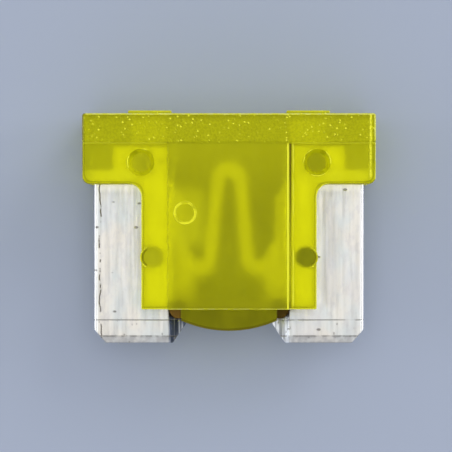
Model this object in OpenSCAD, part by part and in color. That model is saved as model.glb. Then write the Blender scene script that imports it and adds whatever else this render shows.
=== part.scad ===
// Low-profile mini blade fuse, lying flat on its back.
// X runs across the two blades, Y from the blade tips up to the head, Z from the back face to the front.
// The origin is the middle of the outline, on the back face. Front and back are the same shape.

/* [Overall size] */
// Width across the head
overall_w = 10.9; // [10.7:0.05:11.3]
// Height from the blade tips to the rims of the probe windows
overall_h = 8.73; // [8.7:0.01:8.8]
// Depth from the back face to the front face
overall_d = 3.81; // [3.6:0.01:4.1]

/* [Housing] */
// Height of the head, without the rims of the probe windows
head_h = 2.63; // [2.58:0.01:2.68]
// Thickness of the solid roof along the top of the head
roof_t = 1.11; // [1.08:0.01:1.14]
// Width of the stem that hangs from the head
stem_w = 6.51; // [6.45:0.01:6.6]
// Height of the stem
stem_h = 4.65; // [4.6:0.01:4.7]
// Width of the raised panel down the middle of the front and the back
panel_w = 4.55; // [4.5:0.01:4.6]
// How far the panel and the roof stand proud of the faces beside them
panel_step = 0.12; // [0.08:0.01:0.2]
// Radius of the lower corners of the head
head_corner_r = 0.28; // [0.2:0.01:0.35]
// Radius of the upper corners and the long edges of the head
head_edge_r = 0.1; // [0.06:0.01:0.14]
// Radius of the inside corners between head and stem
armpit_r = 0.47; // [0.4:0.01:0.55]

/* [Lips under the stem] */
// Width of the two lips that hang below the stem
lip_w = 3.55; // [3.4:0.01:3.7]
// How far the lips reach below the stem at the middle
lip_drop = 0.81; // [0.75:0.01:0.85]
// How far the curved end of a lip rises from its middle to its sides
lip_rise = 0.38; // [0.3:0.01:0.45]
// How far a lip stands back from the panel where it leaves the stem
lip_setback = 0.2; // [0.15:0.01:0.25]
// How much further back it stands at its end
lip_slope = 0.3; // [0.2:0.01:0.35]

/* [Hollow] */
// Thickness of the slot that takes the metal
slot_t = 0.9; // [0.84:0.01:0.96]
// Width of the slot inside the head
slot_w = 10.4; // [10.3:0.01:10.5]
// Width of the pocket round the melting strip
pocket_w = 4.2; // [4.1:0.01:4.3]
// Depth of the pocket, front to back
pocket_d = 2.0; // [1.8:0.01:2.2]

/* [Probe windows] */
// Distance from the middle to the centre of each window
window_x = 2.97; // [2.94:0.01:3]
// Width of a window
window_w = 1.3; // [1.2:0.01:1.4]
// Width of the raised rim round a window
rim_w = 1.62; // [1.6:0.01:1.7]
// Depth of the raised rim, front to back
rim_d = 1.6; // [1.4:0.01:1.8]
// Height of the rim above the head
rim_h = 0.145; // [0.1:0.005:0.16]

/* [Stakes] */
// Distance from the middle to the upper stakes
upper_stake_x = 3.27; // [3.2:0.01:3.3]
// Distance of the upper stakes below the top of the head
upper_stake_drop = 1.82; // [1.8:0.01:1.9]
// Distance from the middle to the lower stakes
lower_stake_x = 2.87; // [2.84:0.01:2.9]
// Distance of the lower stakes above the foot of the stem
lower_stake_rise = 1.93; // [1.85:0.01:2]
// Radius of the peg that fills each hole in the metal
peg_r = 0.36; // [0.32:0.01:0.37]
// Radius of the holes in the metal
stake_hole_r = 0.38; // [0.38:0.01:0.4]
// Radius of the tool mark at the face over an upper stake
upper_mark_r = 0.5; // [0.46:0.01:0.54]
// Radius of the plain mark over a lower stake
lower_mark_r = 0.36; // [0.34:0.01:0.37]
// Depth of the upper marks
upper_mark_depth = 0.4; // [0.3:0.01:0.5]
// Depth of the lower marks
lower_mark_depth = 0.12; // [0.1:0.01:0.4]
// Radius of the swelling round a lower stake
swell_r = 0.43; // [0.42:0.01:0.46]
// Radius of the foot pegs, which join the front to the back through the pilot holes of the metal
foot_peg_r = 0.35; // [0.3:0.01:0.37]
// Length of the foot pegs
foot_peg_l = 2.3; // [2.1:0.05:2.6]

/* [Moulding ring] */
// Radius of the small ring on the front of the panel
ring_r = 0.42; // [0.38:0.01:0.46]
// Width of the ring
ring_w = 0.08; // [0.06:0.01:0.1]
// How far the ring is sunk into the panel
ring_sink = 0.05; // [0.04:0.01:0.06]
// Place of the ring across the panel
ring_x = -1.63; // [-1.7:0.01:-1.5]
// Place of the ring up the panel
ring_y = 0.52; // [0.4:0.01:0.6]

/* [Blades] */
// Width of a blade
blade_w = 2.8; // [2.7:0.01:2.85]
// Thickness of a blade
blade_t = 0.8; // [0.75:0.01:0.82]
// Distance across the outer edges of the two blades
blade_span = 10.16; // [10.1:0.01:10.2]
// Width of the chamfer on the outer corner of a blade tip
tip_corner_w = 0.45; // [0.35:0.01:0.55]
// Height of that chamfer
tip_corner_h = 0.52; // [0.4:0.01:0.6]
// Height of the bevel along the tip
tip_bevel_h = 0.25; // [0.2:0.01:0.3]
// Thickness left at the end of the tip
tip_end_t = 0.42; // [0.35:0.01:0.5]
// Height at which the shallow lead-in starts
lead_in_h = 0.87; // [0.7:0.01:1]
// How much thinner the lead-in makes the blade
lead_in_cut = 0.05; // [0.03:0.01:0.08]
// Gap between the top edge of the metal and the roof above it
metal_gap = 0.06; // [0.04:0.01:0.1]
// Distance from the middle to the outer edge of the metal's narrower top
metal_top_x = 4.36; // [4.3:0.01:4.4]
// Height of the step to that top above the foot of the head
metal_step_rise = 0.55; // [0.5:0.01:0.6]

/* [Milled middle] */
// Thickness of the milled middle of the metal
web_t = 0.3; // [0.25:0.01:0.35]
// Distance between the slopes of the milled middle
web_w = 3.48; // [3.4:0.01:3.5]
// Distance between the inner edges of the milled metal below the melting strip
web_gap = 2.64; // [2.6:0.01:2.7]
// Radius of the pilot holes at the foot of the stem
pilot_r = 0.39; // [0.36:0.01:0.4]
// Distance from the middle to the pilot holes
pilot_x = 1.88; // [1.86:0.01:1.9]
// How far below the head the milled edge starts to run out to the full thickness
runout_drop = 0.45; // [0.4:0.01:0.5]
// How far above the foot of the head it reaches the full thickness
runout_rise = 0.3; // [0.25:0.01:0.35]
// How far below the stem the inner corner of each foot starts to be cut away
foot_cut_drop = 0.14; // [0.12:0.01:0.18]
// Distance from the middle to the inner end of that cut, at the tip
foot_cut_x = 2.11; // [2.06:0.01:2.16]

/* [Melting strip] */
// Outer radius of the peak
peak_out_r = 0.67; // [0.65:0.01:0.7]
// Inner radius of the peak
peak_in_r = 0.18; // [0.16:0.01:0.2]
// Distance of the centre of the peak's outer curve below the top of the head
peak_drop = 2.41; // [2.38:0.01:2.45]
// Thickening of the peak, which lowers the inner curve
peak_thicken = 0.11; // [0.08:0.01:0.14]
// Distance from the middle to the centre of each trough
trough_x = 1.12; // [1.1:0.01:1.14]
// Distance of the trough's outer centre above the foot of the stem
trough_rise = 1.86; // [1.82:0.01:1.9]
// Outer radius of a trough
trough_out_r = 0.66; // [0.64:0.01:0.68]
// Inner radius of a trough
trough_in_r = 0.16; // [0.14:0.01:0.18]
// Thickening of a trough, which raises its inner curve
trough_thicken = 0.1; // [0.08:0.01:0.12]
// Height above the foot of the stem where the strip's shoulder meets the milled edge
shoulder_rise = 2.6; // [2.55:0.01:2.65]

/* [Hidden] */
$fn = 96;
// A cutter runs past the face that it opens by this much
past = 0.5;
mid_z = overall_d / 2;
tip_y = -overall_h / 2;
head_top = overall_h / 2 - rim_h;
head_foot = head_top - head_h;
roof_foot = head_top - roof_t;
stem_foot = head_foot - stem_h;
side_d = overall_d - 2 * panel_step;
stakes = [
  [upper_stake_x, head_top - upper_stake_drop],
  [lower_stake_x, stem_foot + lower_stake_rise]
];
// The curved end of a lip is an arc through its two corners and its lowest point
lip_end_r = (pow(lip_w / 2, 2) + pow(lip_rise, 2)) / (2 * lip_rise);

// The metal's top edge, and the foot of the narrower top that reaches up under the probe window
metal_top = roof_foot - metal_gap;
metal_step_y = head_foot + metal_step_rise;
blade_in_x = blade_span / 2 - blade_w;
milled_x = web_w / 2;
// A slope is a hollow quarter curve, level where it meets the web
slope_len = blade_in_x - milled_x;
slope_depth = (blade_t - web_t) / 2;
slope_r = (pow(slope_len, 2) + pow(slope_depth, 2)) / (2 * slope_depth);
runout_foot = head_foot - runout_drop;
runout_top = head_foot + runout_rise;
foot_cut_top = stem_foot - foot_cut_drop;

peak_out = [0, head_top - peak_drop];
peak_in = peak_out - [0, peak_thicken];
trough_out = [trough_x, stem_foot + trough_rise];
trough_in = trough_out + [0, trough_thicken];
shoulder_end = [milled_x, stem_foot + shoulder_rise];

// A straight edge bites this far into the curves that it runs into
bite = 0.003;
// Direction of the normal of the edge that leaves circle a on its right and meets circle b on its left
function edge_angle(a, ra, b, rb) =
  atan2(b.y - a.y, b.x - a.x) + acos((ra + rb - 2 * bite) / norm(b - a));
// Direction of the normal of the straight edge from point p that meets circle c on its lower right
function tangent_angle(c, r, p) =
  atan2(p.y - c.y, p.x - c.x) - acos((r - bite) / norm(p - c));
function along(angle) = [cos(angle), sin(angle)];

leg_out_dir = along(edge_angle(peak_out, peak_out_r, trough_in, trough_in_r));
leg_in_dir = along(edge_angle(peak_in, peak_in_r, trough_out, trough_out_r));
leg_out_top = peak_out + (peak_out_r - bite) * leg_out_dir;
leg_out_foot = trough_in - (trough_in_r - bite) * leg_out_dir;
leg_in_top = peak_in + (peak_in_r - bite) * leg_in_dir;
leg_in_foot = trough_out - (trough_out_r - bite) * leg_in_dir;
shoulder_dir = along(tangent_angle(trough_in, trough_in_r, shoulder_end));
shoulder_foot = trough_in + (trough_in_r - bite) * shoulder_dir;

module both_sides() {
  children();
  mirror([1, 0, 0]) children();
}

module front_and_back() {
  children();
  translate([0, 0, overall_d]) mirror([0, 0, 1]) children();
}

// A rectangle with round corners, between two corner points
module round_rect(low, high, r) {
  translate([low.x + r, low.y]) square([high.x - low.x - 2 * r, high.y - low.y]);
  translate([low.x, low.y + r]) square([high.x - low.x, high.y - low.y - 2 * r]);
  for (x = [low.x + r, high.x - r])
    for (y = [low.y + r, high.y - r])
      translate([x, y]) circle(r);
}

// Everything inside the round outer edges of the head, seen along Y and along X
module head_edges() {
  intersection() {
    rotate([90, 0, 0])
      linear_extrude(2 * overall_h, center = true)
        round_rect([-overall_w / 2, 0], [overall_w / 2, overall_d], head_edge_r);
    rotate([90, 0, 90])
      linear_extrude(2 * overall_w, center = true)
        round_rect([-overall_h, 0], [head_top, overall_d], head_edge_r);
  }
}

// Outline of the head alone
module head_outline() {
  round_rect([-overall_w / 2, head_foot], [overall_w / 2, head_top], head_corner_r);
  round_rect([-overall_w / 2, roof_foot], [overall_w / 2, head_top], head_edge_r);
}

// Outline of the stem, with round inside corners where it meets the head
module stem_outline() {
  translate([-stem_w / 2, stem_foot]) square([stem_w, head_foot - stem_foot + roof_t]);
  both_sides() difference() {
    translate([stem_w / 2 - past, head_foot - armpit_r]) square([armpit_r + past, armpit_r + past]);
    translate([stem_w / 2 + armpit_r, head_foot - armpit_r]) circle(armpit_r);
  }
}

// A lip hangs below the stem at the front, leans back, and ends in an arc
module lip() {
  lip_face = overall_d - lip_setback;
  lip_foot = stem_foot - lip_drop;
  intersection() {
    linear_extrude(overall_d) intersection() {
      translate([-lip_w / 2, lip_foot]) square([lip_w, lip_drop + past]);
      translate([0, lip_foot + lip_end_r]) circle(lip_end_r);
    }
    rotate([90, 0, 90]) linear_extrude(lip_w, center = true) polygon([
      [lip_foot, mid_z],
      [stem_foot + past, mid_z],
      [stem_foot + past, lip_face],
      [stem_foot, lip_face],
      [lip_foot, lip_face - lip_slope]
    ]);
  }
}

// The moulding's outside
module housing_outside() {
  intersection() {
    union() {
      translate([0, 0, panel_step]) linear_extrude(side_d) {
        head_outline();
        stem_outline();
      }
      linear_extrude(overall_d) intersection() {
        head_outline();
        translate([-overall_w, roof_foot]) square([2 * overall_w, 2 * roof_t]);
      }
      translate([-panel_w / 2, stem_foot, 0]) cube([panel_w, head_top - stem_foot - head_edge_r, overall_d]);
    }
    head_edges();
  }
  front_and_back() lip();
  both_sides() {
    translate([window_x - rim_w / 2, head_top - past, mid_z - rim_d / 2])
      cube([rim_w, past + rim_h, rim_d]);
    translate([lower_stake_x, stem_foot + lower_stake_rise, panel_step]) cylinder(h = side_d, r = swell_r);
  }
}

// The slot for the metal, the pocket for the melting strip and the two probe windows
module housing_hollow() {
  low = tip_y - past;
  translate([-slot_w / 2, low, mid_z - slot_t / 2]) cube([slot_w, roof_foot - low, slot_t]);
  translate([-pocket_w / 2, low, mid_z - pocket_d / 2]) cube([pocket_w, roof_foot - low, pocket_d]);
  both_sides()
    translate([window_x - window_w / 2, roof_foot - past, mid_z - slot_t / 2])
      cube([window_w, roof_t + 2 * past, slot_t]);
}

// The marks that the staking tools leave, at the front
module stake_marks() {
  side_face = overall_d - panel_step;
  translate([stakes[0].x, stakes[0].y, side_face - upper_mark_depth]) {
    cylinder(h = upper_mark_depth, r1 = peg_r, r2 = upper_mark_r);
    translate([0, 0, upper_mark_depth]) cylinder(h = past, r = upper_mark_r);
  }
  translate([stakes[1].x, stakes[1].y, side_face - lower_mark_depth])
    cylinder(h = lower_mark_depth + past, r = lower_mark_r);
}

module housing() {
  color([0.8, 0.8, 0.08]) difference() {
    union() {
      difference() {
        housing_outside();
        housing_hollow();
      }
      both_sides() {
        for (stake = stakes)
          translate([stake.x, stake.y, mid_z]) cylinder(h = slot_t + past, r = peg_r, center = true);
        translate([pilot_x, stem_foot, mid_z]) cylinder(h = foot_peg_l, r = foot_peg_r, center = true);
      }
    }
    both_sides() front_and_back() stake_marks();
    translate([ring_x, ring_y, overall_d - ring_sink]) difference() {
      cylinder(h = past, r = ring_r);
      cylinder(h = past, r = ring_r - ring_w);
    }
  }
}

// The metal before its gaps are punched: both blades and all that lies between them
module link_blank() {
  out_x = blade_span / 2;
  right_side = [
    [web_gap / 2, foot_cut_top],
    [foot_cut_x, tip_y],
    [out_x - tip_corner_w, tip_y],
    [out_x, tip_y + tip_corner_h],
    [out_x, metal_step_y],
    [metal_top_x, metal_step_y],
    [metal_top_x, metal_top]
  ];
  count = len(right_side);
  left_side = [for (i = [1 : count]) [-right_side[count - i].x, right_side[count - i].y]];
  polygon(concat(right_side, left_side));
}

// The gap that opens upwards: between the legs and the blades, and over the peak
module crown_gap() {
  over = metal_top + past;
  difference() {
    union() {
      both_sides() {
        translate(trough_in) circle(trough_in_r);
        polygon([
          leg_out_foot,
          shoulder_foot,
          shoulder_end,
          [milled_x, runout_foot],
          [blade_in_x, runout_top],
          [blade_in_x, over],
          leg_out_top + (over - leg_out_top.y) / leg_out_dir.x * [-leg_out_dir.y, leg_out_dir.x]
        ]);
      }
      // The two polygons leave a wedge open over the peak, which this fills
      translate([-milled_x / 2, leg_out_top.y + bite]) square([milled_x, over - leg_out_top.y]);
    }
    translate(peak_out) circle(peak_out_r);
  }
}

// The gap that opens downwards: between the legs, and between the milled edges below them
module middle_gap() {
  difference() {
    union() {
      translate(peak_in) circle(peak_in_r);
      polygon([
        leg_in_top,
        [-leg_in_top.x, leg_in_top.y],
        [-leg_in_foot.x, leg_in_foot.y],
        leg_in_foot
      ]);
      translate([-web_gap / 2, foot_cut_top - past]) square([web_gap, trough_out.y + past - foot_cut_top]);
    }
    both_sides() translate(trough_out) circle(trough_out_r);
  }
}

module link_outline() {
  difference() {
    link_blank();
    crown_gap();
    middle_gap();
    both_sides() {
      for (stake = stakes) translate(stake) circle(stake_hole_r);
      translate([pilot_x, stem_foot]) circle(pilot_r);
    }
  }
}

// The metal's thickness across its width: full at the blades, milled from both faces in between
module thickness_across() {
  difference() {
    translate([-overall_w / 2, -blade_t / 2]) square([overall_w, blade_t]);
    for (side = [-1, 1]) {
      translate([-milled_x, side * web_t / 2 - (side < 0 ? blade_t : 0)]) square([web_w, blade_t]);
      for (x = [-milled_x, milled_x])
        translate([x, side * (web_t / 2 + slope_r)]) circle(slope_r);
    }
  }
}

// The metal's thickness up its height: bevelled tip, shallow lead-in, then full
module thickness_up() {
  end = tip_end_t / 2;
  bevel = (blade_t - lead_in_cut) / 2;
  full = blade_t / 2;
  polygon([
    [tip_y, -end],
    [tip_y + tip_bevel_h, -bevel],
    [tip_y + lead_in_h, -full],
    [overall_h, -full],
    [overall_h, full],
    [tip_y + lead_in_h, full],
    [tip_y + tip_bevel_h, bevel],
    [tip_y, end]
  ]);
}

module fuse_link() {
  color([0.83, 0.83, 0.84]) translate([0, 0, mid_z]) intersection() {
    linear_extrude(blade_t, center = true) link_outline();
    rotate([90, 0, 0]) linear_extrude(2 * overall_h, center = true) thickness_across();
    rotate([90, 0, 90]) linear_extrude(overall_w, center = true) thickness_up();
  }
}

housing();
fuse_link();
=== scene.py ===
from math import atan2, ceil, cos, hypot, pi, radians, sin, sqrt, tan

import bpy
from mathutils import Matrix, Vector


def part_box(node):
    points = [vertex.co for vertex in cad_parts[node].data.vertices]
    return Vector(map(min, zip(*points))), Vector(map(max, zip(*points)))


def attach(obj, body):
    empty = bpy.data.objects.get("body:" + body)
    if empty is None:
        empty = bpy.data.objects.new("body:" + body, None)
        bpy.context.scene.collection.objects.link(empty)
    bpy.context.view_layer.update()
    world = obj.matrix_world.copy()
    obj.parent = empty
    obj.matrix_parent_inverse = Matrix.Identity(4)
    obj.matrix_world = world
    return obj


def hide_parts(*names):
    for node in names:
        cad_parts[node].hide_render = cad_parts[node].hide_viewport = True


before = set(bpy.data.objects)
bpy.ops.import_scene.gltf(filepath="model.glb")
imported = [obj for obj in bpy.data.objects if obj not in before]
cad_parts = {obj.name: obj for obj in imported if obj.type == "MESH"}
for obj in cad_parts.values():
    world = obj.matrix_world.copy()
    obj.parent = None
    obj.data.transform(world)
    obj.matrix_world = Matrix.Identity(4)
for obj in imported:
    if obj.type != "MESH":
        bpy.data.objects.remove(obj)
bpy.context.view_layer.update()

# ---------------------------------------------------------------------------------------------------------
# Fuse link. One zinc alloy stamping, tin plated: two flat blades joined by a thin M-shaped melting strip.
# The middle is milled thin from both faces, the gaps and holes are punched, and the blades' outer edges
# are the rolled edges of the strip that it was punched from.

# The sizes of the two pieces are in millimetres, and MM is one of them in metres
MM = 0.001
link_low, link_high = (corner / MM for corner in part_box("fuse_link"))
body_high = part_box("housing")[1] / MM
mid_z = body_high.z / 2
tip_y = link_low.y
blade_w = 2.8
blade_out = link_high.x
blade_in = blade_out - blade_w
blade_t = link_high.z - link_low.z
metal_top = link_high.y

# Levels of the head, its roof and the stem, and the places of the stakes and pilot holes, which the metal
# and the moulding share
head_top = 4.22
head_h = 2.63
roof_h = 1.11
stem_h = 4.65
head_foot = head_top - head_h
roof_foot = head_top - roof_h
stem_foot = head_foot - stem_h
upper_stake = (3.27, head_top - 1.82)
lower_stake = (2.87, stem_foot + 1.93)
pilot_x = 1.88

# How both meshes are cleaned and shaded: points closer than merge_gap become one, faces within flat_turn of
# each other become one, and edges that turn less than smooth_turn are shaded round
merge_gap = 0.0005
flat_turn = radians(0.5)
smooth_turn = radians(26)


def deselect():
    """Leaves edit mode and deselects everything."""
    if bpy.context.object and bpy.context.object.mode != "OBJECT":
        bpy.ops.object.mode_set(mode="OBJECT")
    bpy.ops.object.select_all(action="DESELECT")


def pick(piece):
    """Makes this piece the only one selected, and the active one."""
    deselect()
    piece.select_set(True)
    bpy.context.view_layer.objects.active = piece


def rounded(corners, turn=radians(9)):
    """Points of an outline. Each corner (x, y, radius) becomes an arc with steps of this turn at most."""
    points = []
    for i, (x, y, r) in enumerate(corners):
        corner = Vector((x, y))
        back = (Vector(corners[i - 1][:2]) - corner).normalized()
        on = (Vector(corners[(i + 1) % len(corners)][:2]) - corner).normalized()
        half = back.angle(on) / 2
        centre = corner + (back + on).normalized() * r / sin(half)
        start = corner + back * r / tan(half) - centre
        end = corner + on * r / tan(half) - centre
        sweep = (atan2(end.y, end.x) - atan2(start.y, start.x) + pi) % (2 * pi) - pi
        steps = max(2, ceil(abs(sweep) / turn))
        for k in range(steps + 1):
            angle = atan2(start.y, start.x) + sweep * k / steps
            points.append((centre.x + r * cos(angle), centre.y + r * sin(angle)))
    return points


def ring_of(x, y, r, steps=48):
    """Points of a circle."""
    return [(x + r * cos(2 * pi * k / steps), y + r * sin(2 * pi * k / steps)) for k in range(steps)]


def plate(name, outlines, low_z, high_z, edge_r):
    """A flat solid cut to outlines, between two heights, with all its edges rounded, in millimetres."""
    sheet = bpy.data.curves.new(name, "CURVE")
    sheet.dimensions = "2D"
    sheet.fill_mode = "BOTH"
    sheet.extrude = (high_z - low_z) / 2 - edge_r
    sheet.bevel_depth = edge_r
    sheet.bevel_resolution = 3
    sheet.offset = -edge_r
    for outline in outlines:
        spline = sheet.splines.new("POLY")
        spline.points.add(len(outline) - 1)
        for point, (x, y) in zip(spline.points, outline):
            point.co = (x, y, 0, 1)
        spline.use_cyclic_u = True
    piece = bpy.data.objects.new(name, sheet)
    bpy.context.collection.objects.link(piece)
    piece.location.z = (low_z + high_z) / 2
    pick(piece)
    bpy.ops.object.convert(target="MESH")
    piece = bpy.context.object
    bpy.ops.object.transform_apply(location=True, rotation=True, scale=True)
    bpy.ops.object.mode_set(mode="EDIT")
    bpy.ops.mesh.select_all(action="SELECT")
    bpy.ops.mesh.remove_doubles(threshold=merge_gap)
    bpy.ops.mesh.dissolve_limited(angle_limit=flat_turn)
    bpy.ops.mesh.normals_make_consistent(inside=False)
    bpy.ops.object.mode_set(mode="OBJECT")
    return piece


def finish_mesh(piece):
    """Brings a piece from millimetres to metres and shades its curves smooth and its flats flat."""
    pick(piece)
    piece.scale = (MM, MM, MM)
    bpy.ops.object.transform_apply(location=True, rotation=True, scale=True)
    bpy.ops.object.shade_smooth_by_angle(angle=smooth_turn)
    weigh = piece.modifiers.new("flat_faces_win", "WEIGHTED_NORMAL")
    weigh.keep_sharp = True
    bpy.ops.object.modifier_apply(modifier=weigh.name)


# Outline of the right half, with half the M of the melting strip. It runs from the inside of the M's peak
# down to its trough, round the blade and back to the outside of the peak. Each corner is its x, its y and
# the radius that rounds it.
web_x = 1.74
web_gap_x = 1.32
trough_y = -1.86
tip_cut_x, tip_cut_y = 0.45, 0.52
shoulder_x, shoulder_y = 4.36, head_foot + 0.55
punched_r = 0.07
right_half = [
    (0.164, 1.88, 0.18),
    (0.520, trough_y, 0.66),
    (web_gap_x, trough_y, 0.03),
    (web_gap_x, stem_foot - 0.14, 0.2),
    (2.11, tip_y, 0.1),
    (blade_out - tip_cut_x, tip_y, punched_r),
    (blade_out, tip_y + tip_cut_y, punched_r),
    (blade_out, shoulder_y, punched_r),
    (shoulder_x, shoulder_y, punched_r),
    (shoulder_x, metal_top, punched_r),
    (blade_in, metal_top, punched_r),
    (blade_in, head_foot + 0.3, punched_r),
    (web_x, head_foot - 0.45, punched_r),
    (web_x, -0.46, 0.2),
    (1.0045, -1.561, 0.16),
    (0.6074, 2.48, 0.67),
]
left_half = [(-x, y, r) for x, y, r in reversed(right_half)]
stake_hole_r = 0.38
pilot_hole_r = 0.39
holes = []
for side in (-1, 1):
    for x, y in (upper_stake, lower_stake):
        holes.append(ring_of(side * x, y, stake_hole_r))
    holes.append(ring_of(side * pilot_x, stem_foot, pilot_hole_r))
stamped_edge_r = 0.035
link = plate("link_stamping", [rounded(right_half + left_half)] + holes,
             mid_z - blade_t / 2, mid_z + blade_t / 2, stamped_edge_r)

# Milled middle: its slopes are hollow curves that are level where they meet the web
web_t = 0.3
slope_w = blade_in - web_x
slope_h = (blade_t - web_t) / 2
slope_r = (slope_w ** 2 + slope_h ** 2) / (2 * slope_h)
# Rolled outer edges, and the bevel and shallow lead-in of the blade tips as pairs of height and thickness
rolled_r = 0.15
bevel_h = 0.25
lead_in_h = 0.87
tip_levels = [(tip_y, 0.42), (tip_y + bevel_h, blade_t - 0.05), (tip_y + lead_in_h, blade_t)]


def thickness_at(x, y):
    """Thickness of the stamping at a place, in millimetres."""
    x = abs(x)
    across = blade_t
    if x < web_x:
        across = web_t
    elif x < blade_in:
        across = web_t + 2 * (slope_r - sqrt(slope_r ** 2 - (x - web_x) ** 2))
    elif x > blade_out - rolled_r:
        depth = min(x - blade_out + rolled_r, rolled_r)
        across = blade_t - 2 * (rolled_r - sqrt(rolled_r ** 2 - depth ** 2))
    up = blade_t
    for (y0, t0), (y1, t1) in zip(tip_levels, tip_levels[1:]):
        if y0 <= y < y1:
            up = t0 + (t1 - t0) * (y - y0) / (y1 - y0)
    return min(across, up)


def split_across(piece, places, axis=(1, 0, 0)):
    """Cuts a piece's faces, without parting them, along planes at these distances on an axis."""
    pick(piece)
    bpy.ops.object.mode_set(mode="EDIT")
    for place in places:
        bpy.ops.mesh.select_all(action="SELECT")
        bpy.ops.mesh.bisect(plane_co=Vector(axis) * place, plane_no=axis)
    bpy.ops.object.mode_set(mode="OBJECT")


# Cuts along the slopes and the rolled edges give the metal points that can move to its true thickness
slope_steps = 8
rolled_degrees = (0, 15, 30, 45, 60)
cuts = [web_x + slope_w * k / slope_steps for k in range(slope_steps + 1)]
cuts += [blade_out - rolled_r * (1 - sin(radians(a))) for a in rolled_degrees]
split_across(link, cuts + [-x for x in cuts])
split_across(link, [y for y, t in tip_levels[1:]], axis=(0, 1, 0))
for vertex in link.data.vertices:
    share = thickness_at(vertex.co.x, vertex.co.y) / blade_t
    vertex.co.z = mid_z + (vertex.co.z - mid_z) * share
finish_mesh(link)


class Finish:
    """A material whose patterns are laid out in millimetres on the object's own coordinates."""

    def __init__(self, name):
        self.material = bpy.data.materials.new(name)
        self.material.use_nodes = True
        self.tree = self.material.node_tree
        self.shader = self.tree.nodes["Principled BSDF"]
        self.place = self.tree.nodes.new("ShaderNodeTexCoord").outputs["Object"]
        parts = self.add("ShaderNodeSeparateXYZ", Vector=self.stretch(1, 1, 1))
        self.x, self.y, self.z = parts.outputs

    def add(self, kind, **inputs):
        """A node with its inputs linked or set."""
        node = self.tree.nodes.new(kind)
        for name, value in inputs.items():
            self.feed(node.inputs[name.replace("_", " ")], value)
        return node

    def feed(self, socket, value):
        if isinstance(value, bpy.types.NodeSocket):
            self.tree.links.new(value, socket)
        else:
            socket.default_value = value

    def stretch(self, x, y, z, shift=0):
        """Object coordinates in millimetres, times a number on each axis."""
        node = self.add("ShaderNodeMapping", Vector=self.place)
        node.inputs["Scale"].default_value = (x / MM, y / MM, z / MM)
        node.inputs["Location"].default_value = (shift, shift, shift)
        return node.outputs["Vector"]

    def noise(self, x, y, z, detail=2.0, shift=0):
        """Cloudy noise from 0 to 1 with so many features to a millimetre along each axis."""
        node = self.add("ShaderNodeTexNoise", Vector=self.stretch(x, y, z, shift), Scale=1.0, Detail=detail)
        return node.outputs["Fac"]

    def spots(self, x, y, z, shift=0):
        """Distance to the nearest of scattered points, in steps of their spacing."""
        node = self.add("ShaderNodeTexVoronoi", Vector=self.stretch(x, y, z, shift), Scale=1.0)
        return node.outputs["Distance"]

    def ramp(self, value, low, high, to_low=0.0, to_high=1.0):
        """Maps low..high to to_low..to_high, with soft ends."""
        node = self.add("ShaderNodeMapRange", Value=value)
        node.interpolation_type = "SMOOTHSTEP"
        for name, number in (("From Min", low), ("From Max", high), ("To Min", to_low), ("To Max", to_high)):
            node.inputs[name].default_value = number
        return node.outputs["Result"]

    def math(self, how, *values):
        """One step of arithmetic."""
        node = self.add("ShaderNodeMath")
        node.operation = how
        for socket, value in zip(node.inputs, values):
            self.feed(socket, value)
        return node.outputs[0]

    def line(self, value, at, half_w):
        """1 along a line where the value is near at, and 0 beside it."""
        return self.ramp(self.math("ABSOLUTE", self.math("SUBTRACT", value, at)), half_w * 0.4, half_w, 1, 0)

    def blend(self, share, a, b):
        """Colour a turning into colour b."""
        node = self.add("ShaderNodeMix")
        node.data_type = "RGBA"
        self.feed(node.inputs["Factor"], share)
        # The sockets for colours have the same names as those for numbers, so they are taken by their place
        first, second, blended = node.inputs[6], node.inputs[7], node.outputs[2]
        for socket, colour in ((first, a), (second, b)):
            self.feed(socket, colour if isinstance(colour, bpy.types.NodeSocket) else (*colour, 1))
        return blended

    def radius(self, x, y):
        """Distance from the axis that stands along Z at (x, y)."""
        offset = self.add("ShaderNodeCombineXYZ", X=self.math("SUBTRACT", self.x, x),
                          Y=self.math("SUBTRACT", self.y, y), Z=0.0)
        length = self.add("ShaderNodeVectorMath", Vector=offset.outputs[0])
        length.operation = "LENGTH"
        return length.outputs["Value"]

    def within(self, x, y, r):
        """1 within a round area, 0 outside it."""
        return self.ramp(self.radius(x, y), r * 0.8, r, 1, 0)

    def bump(self, height, depth, under=None):
        """Relief of this depth in millimetres, laid over another relief."""
        node = self.add("ShaderNodeBump", Height=height, Distance=depth * MM)
        if under:
            self.feed(node.inputs["Normal"], under)
        return node.outputs["Normal"]


zinc = Finish("tin_plated_zinc")
cloud = zinc.noise(0.9, 0.6, 0.9, detail=5)
mottle = zinc.noise(5, 3, 5, detail=4, shift=11)
streak = zinc.noise(9, 0.6, 9, detail=3)
wide_streak = zinc.noise(1.6, 0.4, 1.6, detail=4, shift=3)
from_middle = zinc.math("ABSOLUTE", zinc.x)
colour = zinc.blend(zinc.ramp(cloud, 0.38, 0.62), (0.61, 0.635, 0.625), (0.70, 0.665, 0.605))
colour = zinc.blend(zinc.ramp(mottle, 0.45, 0.7, 0, 0.45), colour, (0.55, 0.53, 0.53))
colour = zinc.blend(zinc.ramp(wide_streak, 0.45, 0.7, 0, 0.35), colour, (0.56, 0.56, 0.59))
colour = zinc.blend(zinc.ramp(streak, 0.55, 0.75, 0, 0.2), colour, (0.50, 0.50, 0.50))
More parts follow.
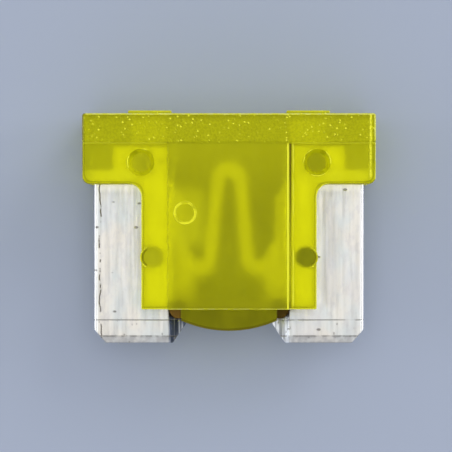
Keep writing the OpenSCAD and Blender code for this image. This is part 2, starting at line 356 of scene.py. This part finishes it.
# Painted light on the plating just under the head and close beside the stem on the right, and a strip of
# painted shade further out
above_foot = zinc.ramp(zinc.y, stem_foot - 0.1, stem_foot + 0.3)
stem_side_light = zinc.math("MULTIPLY", zinc.line(zinc.x, 3.33, 0.22), 0.35)
head_foot_light = zinc.ramp(zinc.y, head_foot - 0.35, head_foot - 0.05, 0, 0.8)
bright = zinc.math("MULTIPLY", zinc.math("MAXIMUM", stem_side_light, head_foot_light), above_foot)
blade_shade_strip = zinc.math("MULTIPLY", zinc.math("MULTIPLY", zinc.line(zinc.x, 3.75, 0.4), 0.3), above_foot)
colour = zinc.blend(blade_shade_strip, colour, (0.42, 0.41, 0.39))
colour = zinc.blend(bright, colour, (0.97, 0.94, 0.91))
# The rolled edges get a painted highlight, and the bevelled tips are dull in patches
rolled_edge_highlight = zinc.ramp(from_middle, blade_out - rolled_r - 0.02, blade_out - rolled_r + 0.02)
colour = zinc.blend(rolled_edge_highlight, colour, (0.97, 0.97, 0.95))
bevelled_tip = zinc.ramp(zinc.y, tip_y + 0.22, tip_y + 0.27, 1, 0)
dull_tip = zinc.math("MULTIPLY", bevelled_tip, zinc.ramp(mottle, 0.35, 0.6, 0.3, 0.8))
colour = zinc.blend(dull_tip, colour, (0.42, 0.41, 0.40))
# Painted light under the housing: the plating there is lighter, except on the thin middle
in_stem = zinc.math("MULTIPLY", zinc.ramp(from_middle, 3.2, 3.3, 1, 0),
                    zinc.ramp(zinc.y, stem_foot, stem_foot + 0.1))
covered = zinc.math("MAXIMUM", in_stem, zinc.ramp(zinc.y, head_foot, head_foot + 0.1))
lit_under_housing = zinc.blend(zinc.ramp(from_middle, web_x, blade_in), (0.66, 0.65, 0.62), (1.0, 0.99, 0.96))
colour = zinc.blend(covered, colour, lit_under_housing)
# The milled slopes below the stem show milling streaks and a painted bluish reflection, darker on the left
bare_slope = zinc.math("MULTIPLY", zinc.ramp(from_middle, blade_in - 0.03, blade_in, 1, 0),
                       zinc.math("SUBTRACT", 1.0, covered))
milling_and_reflection = zinc.math("ADD", zinc.ramp(zinc.noise(10, 0.5, 2, shift=4), 0.3, 0.7),
                    zinc.ramp(zinc.x, -0.5, 0.5, -0.4, 0.3))
milled_and_reflected = zinc.blend(milling_and_reflection, (0.07, 0.085, 0.12), (0.8, 0.83, 0.87))
colour = zinc.blend(bare_slope, colour, milled_and_reflected)
# Small dark pits, a broken rolling mark down the left blade, fine lines of painted shade where the lead-in
# and the bevel start, and scuffs near the tips
pits = zinc.ramp(zinc.spots(1.1, 1.9, 1.1), 0.05, 0.11, 0.75, 0)
rolling_mark_x = -4.83
wander = zinc.ramp(zinc.noise(0.1, 1.1, 0.1, shift=7), 0.3, 0.7, -0.05, 0.05)
worn_mark = zinc.ramp(zinc.noise(0.2, 2.2, 0.2, detail=4), 0.42, 0.52, 0, 1)
rolling_mark = zinc.line(zinc.math("ADD", zinc.x, wander), rolling_mark_x, 0.035)
rolling_mark = zinc.math("MULTIPLY", rolling_mark, worn_mark)
crease_breakup = zinc.ramp(zinc.noise(1.2, 0.1, 1), 0.35, 0.45, 0.1, 0.55)
crease_shade = zinc.math("MULTIPLY", zinc.line(zinc.y, tip_y + lead_in_h, 0.028), crease_breakup)
bevel_breakup = zinc.ramp(mottle, 0.35, 0.6, 0.15, 0.6)
bevel_shade = zinc.math("MULTIPLY", zinc.line(zinc.y, tip_y + 0.26, 0.035), bevel_breakup)
scuffs = zinc.math("MULTIPLY", zinc.ramp(zinc.spots(4.2, 2.6, 4.2, shift=5), 0.08, 0.2, 0.45, 0),
                   zinc.ramp(zinc.y, tip_y + 0.7, tip_y + 1.1, 1, 0.1))
dark = pits
for mark in (rolling_mark, crease_shade, bevel_shade, scuffs):
    dark = zinc.math("MAXIMUM", dark, mark)
colour = zinc.blend(dark, colour, (0.17, 0.155, 0.14))
zinc.feed(zinc.shader.inputs["Base Color"], colour)
zinc.shader.inputs["Metallic"].default_value = 1.0
zinc.feed(zinc.shader.inputs["Roughness"], zinc.ramp(streak, 0.3, 0.7, 0.3, 0.42))
relief = zinc.bump(streak, 0.0025)
relief = zinc.bump(dark, -0.01, relief)
zinc.feed(zinc.shader.inputs["Normal"], relief)
link.data.materials.append(zinc.material)
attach(link, "root")
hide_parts("fuse_link")

# ---------------------------------------------------------------------------------------------------------
# Housing. One injection moulding of clear yellow plastic, open below. It is pushed down over the link, and
# a tool then presses plastic through the link's four round holes, which leaves a round mark over each.

head_x = body_high.x
stem_x = 3.255
panel_x = 2.275
panel_step = 0.12
side_low, side_high = panel_step, body_high.z - panel_step
soft_r = 0.05
fillet_r = 0.47
head_r = 0.28
roof_r = 0.1
# Faces that would lie in one plane are kept this far apart, so that the solids join cleanly
apart = 0.002


def mirrored_outline(right):
    """A closed outline with rounded corners, from the corners of its right half."""
    return rounded(right + [(-x, y, r) for x, y, r in reversed(right)])


def join(piece, others, how="UNION"):
    """Adds the other solids to a piece, or cuts them out of it."""
    for other in others:
        pick(piece)
        boolean = piece.modifiers.new("join", "BOOLEAN")
        boolean.operation = how
        boolean.solver = "EXACT"
        boolean.object = other
        bpy.ops.object.modifier_apply(modifier=boolean.name)
        bpy.data.objects.remove(other)


def block(name, low, high, edge):
    """A box between two corners, in millimetres, with every edge rounded."""
    deselect()
    bpy.ops.mesh.primitive_cube_add(size=1, location=[(a + b) / 2 for a, b in zip(low, high)])
    piece = bpy.context.object
    piece.name = name
    piece.scale = [b - a for a, b in zip(low, high)]
    bpy.ops.object.transform_apply(location=True, rotation=True, scale=True)
    bpy.ops.object.mode_set(mode="EDIT")
    bpy.ops.mesh.select_all(action="SELECT")
    bpy.ops.mesh.bevel(offset=edge, segments=4, profile=0.5)
    bpy.ops.object.mode_set(mode="OBJECT")
    return piece


def peg(name, x, y, low_z, high_z, low_r, high_r):
    """A round peg or cone that stands along Z, in millimetres."""
    deselect()
    bpy.ops.mesh.primitive_cone_add(vertices=64, radius1=low_r, radius2=high_r, depth=high_z - low_z,
                                    location=(x, y, (low_z + high_z) / 2))
    piece = bpy.context.object
    piece.name = name
    bpy.ops.object.transform_apply(location=True, rotation=True, scale=True)
    return piece


# The T-shaped body and its raised panel both reach up into the roof. The body's broad faces are split where
# the panel covers them, so that they join it without open seams.
overlap = 0.3
panel_overlap = 0.4
split_x = panel_x * 0.8
body = plate("housing_moulding", [mirrored_outline([
    (stem_x, stem_foot, soft_r),
    (stem_x, head_foot, fillet_r),
    (head_x - apart, head_foot, head_r),
    (head_x - apart, roof_foot + overlap, soft_r),
])], side_low, side_high, soft_r)
split_across(body, [-split_x, split_x])
roof = block("roof", (-head_x, roof_foot, 0), (head_x, head_top, body_high.z), roof_r)
panel = plate("panel", [mirrored_outline([
    (panel_x, stem_foot - apart, soft_r),
    (panel_x, roof_foot + panel_overlap, soft_r),
])], apart, body_high.z - apart, soft_r)
join(body, [roof, panel])

# Lips: they hang below the stem at the front and the back, lean inwards and end in an arc. Their inner faces
# start within the pocket, which trims them when it is cut.
lip_x = 1.775
lip_drop, lip_rise = 0.81, 0.38
lip_setback, lip_slope = 0.2, 0.3
lip_edge_r = 0.03
lip_inset = 0.1
lip_r = (lip_x ** 2 + lip_rise ** 2) / (2 * lip_rise)
lip_half_turn = atan2(lip_x, lip_r - lip_rise)
lip_foot = stem_foot - lip_drop
half_steps = 12
arc = []
for k in range(-half_steps, half_steps + 1):
    angle = lip_half_turn * k / half_steps
    arc.append((lip_r * sin(angle), lip_foot + lip_r * (1 - cos(angle))))
lip_top = stem_foot + overlap
pocket_half_t = 1.0
near = mid_z + pocket_half_t - lip_inset
far = body_high.z - lip_setback
for facing in (-1, 1):
    lip = plate("lip", [arc + [(lip_x, lip_top), (-lip_x, lip_top)]], near, far, lip_edge_r)
    for vertex in lip.data.vertices:
        if vertex.co.z > (near + far) / 2:
            vertex.co.z -= max(0, stem_foot - vertex.co.y) / lip_drop * lip_slope
    if facing < 0:
        for vertex in lip.data.vertices:
            vertex.co.z = 2 * mid_z - vertex.co.z
        pick(lip)
        bpy.ops.object.mode_set(mode="EDIT")
        bpy.ops.mesh.select_all(action="SELECT")
        bpy.ops.mesh.flip_normals()
        bpy.ops.object.mode_set(mode="OBJECT")
    join(body, [lip])

# Rims round the probe windows, and the swelling round each lower stake
window_x = 2.97
rim_half_w, rim_half_t = 0.81, 0.8
rim_r = 0.04
swell_r = 0.43
for side in (-1, 1):
    rim = block("rim", (side * window_x - rim_half_w, roof_foot + overlap, mid_z - rim_half_t),
                (side * window_x + rim_half_w, body_high.y, mid_z + rim_half_t), rim_r)
    swell = peg("swell", side * lower_stake[0], lower_stake[1], side_low + apart, side_high - apart,
                swell_r, swell_r)
    join(body, [rim, swell])

# Inside: the slot for the metal, the pocket round the melting strip and the two windows. Each cutter reaches
# past the faces that it opens.
past = 0.5
below = tip_y - past
slot_x, slot_half_t, slot_r = 5.2, 0.45, 0.04
slot = block("slot", (-slot_x, below, mid_z - slot_half_t), (slot_x, roof_foot, mid_z + slot_half_t), slot_r)
pocket_x, pocket_r = 2.1, 0.06
pocket = block("pocket", (-pocket_x, below, mid_z - pocket_half_t),
               (pocket_x, roof_foot - apart, mid_z + pocket_half_t), pocket_r)
join(body, [slot, pocket], "DIFFERENCE")
window_half_w, window_r = 0.65, 0.03
window_half_t = slot_half_t - apart
for side in (-1, 1):
    window = block("window", (side * window_x - window_half_w, roof_foot - past, mid_z - window_half_t),
                   (side * window_x + window_half_w, head_top + past, mid_z + window_half_t), window_r)
    join(body, [window], "DIFFERENCE")

# Stakes: the pegs through the metal, and the tool marks over them at the front and the back. The upper marks
# are deep and widen outwards, and the lower ones are shallow and straight.
peg_r, peg_half_l = 0.36, 0.6
upper_mark_r, upper_mark_depth = 0.5, 0.4
lower_mark_depth = 0.12
mark_past = 0.3
for side in (-1, 1):
    for (x, y), mark_r, depth in ((upper_stake, upper_mark_r, upper_mark_depth),
                                  (lower_stake, peg_r, lower_mark_depth)):
        join(body, [peg("stake", side * x, y, mid_z - peg_half_l, mid_z + peg_half_l, peg_r, peg_r)])
        cutter_r = mark_r + (mark_r - peg_r) / depth * mark_past
        front_mark = peg("mark", side * x, y, side_high - depth, side_high + mark_past, peg_r, cutter_r)
        back_mark = peg("mark", side * x, y, side_low - mark_past, side_low + depth, cutter_r, peg_r)
        join(body, [front_mark, back_mark], "DIFFERENCE")

# Foot pegs: beside the lips they join the front to the back through the metal's pilot holes
foot_peg_r, foot_peg_half_l = 0.35, 1.15
for side in (-1, 1):
    join(body, [peg("foot_peg", side * pilot_x, stem_foot, mid_z - foot_peg_half_l, mid_z + foot_peg_half_l,
                    foot_peg_r, foot_peg_r)])

# Moulding ring, a fine round groove in the front of the panel
ring_x, ring_y = -1.63, 0.52
ring_out_r, ring_in_r = 0.42, 0.34
ring_depth, ring_past, ring_edge_r = 0.05, 0.2, 0.02
ring = plate("ring", [ring_of(ring_x, ring_y, ring_out_r), ring_of(ring_x, ring_y, ring_in_r)],
             body_high.z - ring_depth, body_high.z + ring_past, ring_edge_r)
join(body, [ring], "DIFFERENCE")

# Closes the hairline seams that joining leaves between faces in one plane
pick(body)
bpy.ops.object.mode_set(mode="EDIT")
bpy.ops.mesh.select_mode(type="EDGE")
bpy.ops.mesh.select_all(action="DESELECT")
bpy.ops.mesh.select_non_manifold()
bpy.ops.mesh.fill_holes(sides=4)
bpy.ops.mesh.select_all(action="SELECT")
bpy.ops.mesh.dissolve_degenerate(threshold=merge_gap)
bpy.ops.object.mode_set(mode="OBJECT")
finish_mesh(body)

# Noise and masks that the finish below is put together from
plastic = Finish("clear_yellow_plastic")
grain = plastic.noise(14, 14, 14, detail=3)
ripple = plastic.noise(1.2, 0.5, 1.2)
uneven = plastic.ramp(plastic.noise(2.5, 2.5, 1, shift=6), 0.35, 0.6, 0.25, 1)
broken = plastic.ramp(plastic.noise(3.5, 3.5, 1, shift=2), 0.5, 0.6)
from_middle = plastic.math("ABSOLUTE", plastic.x)
front = plastic.ramp(plastic.z, mid_z, mid_z + 1)
lips = plastic.ramp(plastic.y, stem_foot - 0.06, stem_foot + 0.02, 1, 0)


def lit(share, *masks):
    """Several masks multiplied together and by a number."""
    for mask in masks:
        share = plastic.math("MULTIPLY", mask, share)
    return share


def any_of(*masks):
    """The greatest of several masks."""
    most = masks[0]
    for mask in masks[1:]:
        most = plastic.math("MAXIMUM", most, mask)
    return most


def circles(place, r, half_w):
    """Thin circles round this place on the right and round its mirror image on the left."""
    x, y = place
    return any_of(*(plastic.line(plastic.radius(side * x, y), r, half_w) for side in (-1, 1)))


in_panel = plastic.ramp(from_middle, panel_x - 0.03, panel_x + 0.03, 1, 0)
beside_stakes = plastic.ramp(from_middle, 3.0, 3.1)

# Distance from the T-shaped outline, negative within it. The two soft widths make it follow the round
# corners of the head and the fillets between the head and the stem.
head_soft_w = 0.49
fillet_soft_w = 0.83
head_edge = plastic.math("SMOOTH_MAX", plastic.math("SUBTRACT", from_middle, head_x),
                         plastic.math("SUBTRACT", head_foot, plastic.y), head_soft_w)
stem_edge = any_of(plastic.math("SUBTRACT", from_middle, stem_x),
                   plastic.math("SUBTRACT", stem_foot, plastic.y))
outline = plastic.math("SMOOTH_MIN", head_edge, stem_edge, fillet_soft_w)
outline = any_of(outline, plastic.math("SUBTRACT", plastic.y, head_top))
rim_shade = plastic.line(outline, -0.08, 0.035)

# The band along the head is spark-textured: frosted, with small painted glints
frosted = plastic.ramp(plastic.y, roof_foot - 0.05, roof_foot + 0.1)
speckle = lit(1.0, plastic.ramp(plastic.noise(11, 11, 11, detail=3, shift=9), 0.42, 0.6), frosted)
band_glints = lit(1.0, plastic.ramp(plastic.spots(5.6, 5.6, 5.6), 0.12, 0.28, 1, 0), frosted,
             plastic.ramp(plastic.noise(1.6, 3, 1.6, shift=8), 0.36, 0.52, 0.4, 1))

# Painted glints on the moulding ring, the tool marks, the swellings and the end of the slot
ring_light = lit(1.0, plastic.line(plastic.radius(ring_x, ring_y), 0.385, 0.07), front,
                 plastic.ramp(plastic.noise(5, 5, 5), 0.4, 0.55, 0.5, 1))
mark_light = lit(0.9, circles(upper_stake, upper_mark_r, 0.035), broken)
swell_light = lit(0.9, circles(lower_stake, 0.41, 0.035), beside_stakes,
                  plastic.ramp(grain, 0.42, 0.55, 0.25, 1))
slot_light = lit(1.0, plastic.line(plastic.x, head_x - 0.2, 0.055),
                 plastic.ramp(plastic.y, head_foot + 0.15, head_foot + 0.3),
                 plastic.ramp(grain, 0.35, 0.55, 0.45, 1))
# Painted glints along the rims on the head, along the foot of its roof, in flecks down the left side of
# the panel, and as two fine lines down its right side
on_panel = lit(1.0, plastic.ramp(plastic.y, roof_foot - 0.04, roof_foot, 1, 0), front)
fleck_light = lit(0.7, plastic.line(plastic.x, -panel_x, 0.035), on_panel, plastic.ramp(grain, 0.5, 0.62))
rim_light = plastic.ramp(plastic.y, head_top + 0.03, head_top + 0.08, 0, 0.6)
step_light = lit(0.4, plastic.line(plastic.y, roof_foot, 0.06),
                 plastic.ramp(from_middle, panel_x, panel_x + 0.1), front)
panel_edge_glints = any_of(lit(1.0, plastic.line(plastic.x, panel_x - 0.09, 0.04), on_panel),
                      lit(1.0, plastic.line(plastic.x, panel_x + 0.1, 0.04), on_panel, uneven))
glint = any_of(band_glints, ring_light, mark_light, swell_light, slot_light, fleck_light, rim_light, step_light,
               panel_edge_glints)

# Painted shade: dark lines between those two, along the outline's rim, on the inner side of the swellings
# and at the foot of the lips, and softer shade at the top of the head and the foot of the panel.
panel_edge_shade = lit(1.0, plastic.line(plastic.x, panel_x, 0.06), on_panel, plastic.ramp(plastic.y, -1, 2, 0.6, 1))
swell_shade = lit(0.8, circles(lower_stake, 0.34, 0.05), beside_stakes)
lip_shade = plastic.line(plastic.radius(0, lip_foot + lip_r), lip_r - 0.04, 0.07)
top_shade = plastic.ramp(plastic.y, head_top - 0.35, head_top - 0.05, 0, 0.4)
panel_foot_shade = lit(0.35, plastic.ramp(plastic.y, stem_foot + 0.05, stem_foot + 0.5, 1, 0), in_panel)
shade = any_of(lit(0.5, rim_shade), swell_shade, top_shade, panel_foot_shade)
deep_shade = any_of(panel_edge_shade, lit(0.8, lip_shade, lips))
# Painted shade on the foot pegs where they show beside the lips: deep amber, darker on the right
peg_shade = lit(1.0, plastic.ramp(from_middle, lip_x, lip_x + 0.04), lips)

# The plastic under three of the tool marks is whiter, most of all on the left
whiter_marks = [(-1, upper_stake, upper_mark_r, 0.75), (1, upper_stake, upper_mark_r, 0.35),
                (-1, lower_stake, 0.42, 0.7)]
pressed = any_of(*(lit(share, plastic.within(side * x, y, r)) for side, (x, y), r, share in whiter_marks))
# Colour: two close yellows in ripples, darker on the speckled band and on the lips, with painted shade near
# the mouth of the pocket
mouth_shade = lit(0.25, plastic.ramp(plastic.y, stem_foot, stem_foot + 1.5, 1, 0),
                 plastic.ramp(from_middle, 0.9, 1.9, 1, 0))
colour = plastic.blend(plastic.ramp(ripple, 0.3, 0.7), (0.96, 0.955, 0.008), (0.99, 0.985, 0.012))
colour = plastic.blend(lit(0.7, speckle), colour, (0.78, 0.78, 0.006))
colour = plastic.blend(mouth_shade, colour, (0.6, 0.59, 0.005))
lip_yellow = plastic.blend(plastic.ramp(ripple, 0.4, 0.6), (0.52, 0.51, 0.004), (0.68, 0.66, 0.005))
colour = plastic.blend(lips, colour, lip_yellow)
colour = plastic.blend(pressed, colour, (0.92, 0.91, 0.014))
colour = plastic.blend(shade, colour, (0.3, 0.28, 0.003))
colour = plastic.blend(deep_shade, colour, (0.13, 0.1, 0.003))
colour = plastic.blend(glint, colour, (1.0, 0.99, 0.05))
peg_shade_colour = plastic.blend(plastic.ramp(plastic.x, -1, 1), (0.22, 0.1, 0.03), (0.06, 0.016, 0.008))
colour = plastic.blend(peg_shade, colour, peg_shade_colour)
plastic.feed(plastic.shader.inputs["Base Color"], colour)
# Haze blurs the metal behind the plastic, more at the panel's foot and a little at the ends of the head
plastic_roughness = 0.385
plastic_ior = 1.5
haze = any_of(lit(0.15, plastic.ramp(plastic.y, stem_foot + 0.6, stem_foot + 2.2, 1, 0), in_panel),
              plastic.ramp(from_middle, 3.9, 4.4, 0, 0.05))
plastic.feed(plastic.shader.inputs["Roughness"], plastic.math("ADD", haze, plastic_roughness))
plastic.shader.inputs["IOR"].default_value = plastic_ior
plastic.shader.inputs["Specular Tint"].default_value = (1.0, 0.97, 0.12, 1)
# The moulding is milky at the top and on the left of the panel, and at the ends and along the foot of the
# head. Less light goes through there, and where the plastic is marked, shaded or frosted.
clearest = 0.88
milky = any_of(lit(0.1, plastic.ramp(plastic.y, 0.5, 3.2), in_panel),
               lit(0.26, plastic.ramp(plastic.x, -2.3, -1.8), plastic.ramp(plastic.x, -1.3, -0.6, 1, 0),
                   plastic.ramp(plastic.y, -1.1, -0.3), plastic.ramp(plastic.y, 0.9, 2.0, 1, 0)),
               lit(0.12, plastic.ramp(from_middle, 4.3, 4.5)),
               lit(0.4, plastic.ramp(from_middle, 3.3, 3.8),
                   plastic.ramp(plastic.y, head_foot, head_foot + 0.2),
                   plastic.ramp(plastic.y, head_foot + 0.4, head_foot + 0.65, 1, 0)))
opaque = any_of(glint, lit(0.75, pressed), lit(0.3, frosted), lit(0.5, shade), lit(0.8, deep_shade), peg_shade,
                milky)
clear = plastic.math("SUBTRACT", plastic.math("SUBTRACT", clearest, lit(0.65, opaque)), lit(0.2, glint))
plastic.feed(plastic.shader.inputs["Transmission Weight"], clear)
# Fine grain all over, with the coarser relief of the frosted band and of the glints laid over it
relief = plastic.bump(grain, 0.004)
relief = plastic.bump(lit(1.0, plastic.noise(6, 6, 6, shift=5), frosted), 0.03, relief)
relief = plastic.bump(glint, 0.02, relief)
plastic.feed(plastic.shader.inputs["Normal"], relief)
body.data.materials.append(plastic.material)

# The rounded outer edges are glossier and catch the light, with painted shade at the head's left end and
# along its foot
edge = Finish("polished_edge")
gloss_and_shade = edge.blend(edge.ramp(edge.noise(5, 5, 5), 0.4, 0.6), (0.98, 0.97, 0.03), (1.0, 1.0, 0.2))
left_end_shade = edge.ramp(edge.x, 0.1 - head_x, 0.15 - head_x, 1, 0)
foot_edge_shade = edge.math("MULTIPLY", edge.ramp(edge.math("ABSOLUTE", edge.x), stem_x + 0.2, stem_x + 0.6),
                       edge.ramp(edge.y, head_foot + 0.15, head_foot + 0.2, 1, 0))
gloss_and_shade = edge.blend(edge.math("MAXIMUM", left_end_shade, foot_edge_shade), gloss_and_shade, (0.33, 0.31, 0.008))
edge.feed(edge.shader.inputs["Base Color"], gloss_and_shade)
edge.shader.inputs["Roughness"].default_value = 0.12
edge.shader.inputs["IOR"].default_value = plastic_ior
edge.shader.inputs["Specular Tint"].default_value = (1.0, 0.98, 0.35, 1)
edge.shader.inputs["Transmission Weight"].default_value = 0.4
body.data.materials.append(edge.material)
# It goes on the slanting faces round the outline, but not at the roof's foot or round the upper tool marks
for face in body.data.polygons:
    x, y, z = (c / MM for c in face.center)
    slanting = 0.1 < abs(face.normal.z) < 0.9 and abs(z - mid_z) > 1.2
    outer = abs(x) > stem_x - 0.1 or y > head_top - 0.12 or abs(y - stem_foot) < 0.08
    inner = abs(y - roof_foot) < 0.12 or hypot(abs(x) - upper_stake[0], y - upper_stake[1]) < 0.6
    if slanting and outer and not inner:
        face.material_index = 1
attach(body, "root")
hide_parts("housing")

# ---------------------------------------------------------------------------------------------------------
# Studio. A pale floor that the fuse lies on, a wide soft light overhead, others from the upper right, from
# low on the right and from the left, and a camera that looks straight down on the front. Its sizes and
# places are in metres.

# The floor is a hair lower than the fuse's back, so that their faces don't lie in one plane
floor_size = 4
floor_z = -0.00002
deselect()
bpy.ops.mesh.primitive_plane_add(size=floor_size, location=(0, 0, floor_z))
floor = bpy.context.object
floor.name = "floor"
bpy.ops.object.transform_apply(location=True, rotation=True, scale=True)
paint = bpy.data.materials.new("pale_board")
paint.use_nodes = True
shader = paint.node_tree.nodes["Principled BSDF"]
shader.inputs["Base Color"].default_value = (0.40, 0.45, 0.57, 1)
shader.inputs["Roughness"].default_value = 0.8
floor.data.materials.append(paint)

# The room is brightest a little above the height of the floor, which lights up the rounded edges
world = bpy.data.worlds.new("studio")
bpy.context.scene.world = world
world.use_nodes = True
sky = world.node_tree
direction = sky.nodes.new("ShaderNodeTexCoord")
height = sky.nodes.new("ShaderNodeSeparateXYZ")
level = sky.nodes.new("ShaderNodeValToRGB")
sky.links.new(direction.outputs["Generated"], height.inputs["Vector"])
sky.links.new(height.outputs["Z"], level.inputs["Fac"])
horizon, bright_band = level.color_ramp.elements
horizon.position = 0.03
horizon.color = (0.22, 0.235, 0.27, 1)
bright_band.position = 0.15
bright_band.color = (0.95, 0.97, 1.0, 1)
ceiling = level.color_ramp.elements.new(0.6)
ceiling.color = (0.25, 0.257, 0.265, 1)
sky.links.new(level.outputs["Color"], sky.nodes["Background"].inputs["Color"])
sky.nodes["Background"].inputs["Strength"].default_value = 1.7


def softbox(name, place, size, watts):
    """A square soft light at a place, which faces the fuse."""
    light = bpy.data.lights.new(name, "AREA")
    light.size = size
    light.energy = watts
    lamp = bpy.data.objects.new(name, light)
    bpy.context.collection.objects.link(lamp)
    lamp.location = place
    lamp.rotation_euler = (-Vector(place)).to_track_quat("-Z", "Y").to_euler()


softbox("overhead", (0.0, 0.02, 0.24), 0.2, 0.12)
softbox("key", (0.48, 0.48, 0.4), 0.32, 0.96)
softbox("low_right", (0.64, 0.12, 0.14), 0.2, 0.96)
softbox("fill", (-0.64, 0.0, 0.2), 0.32, 0.8)

# The camera stands over the fuse's front face, a hair off its middle
camera_reach = 0.1
camera_x, camera_y = -0.000111, 0.000035
lens = bpy.data.cameras.new("camera")
lens.lens = 215
lens.sensor_width = 36
lens.clip_start = 0.01
camera = bpy.data.objects.new("camera", lens)
bpy.context.collection.objects.link(camera)
camera.location = (camera_x, camera_y, camera_reach + body_high.z * MM)
bpy.context.scene.camera = camera
bpy.context.scene.view_settings.view_transform = "Standard"
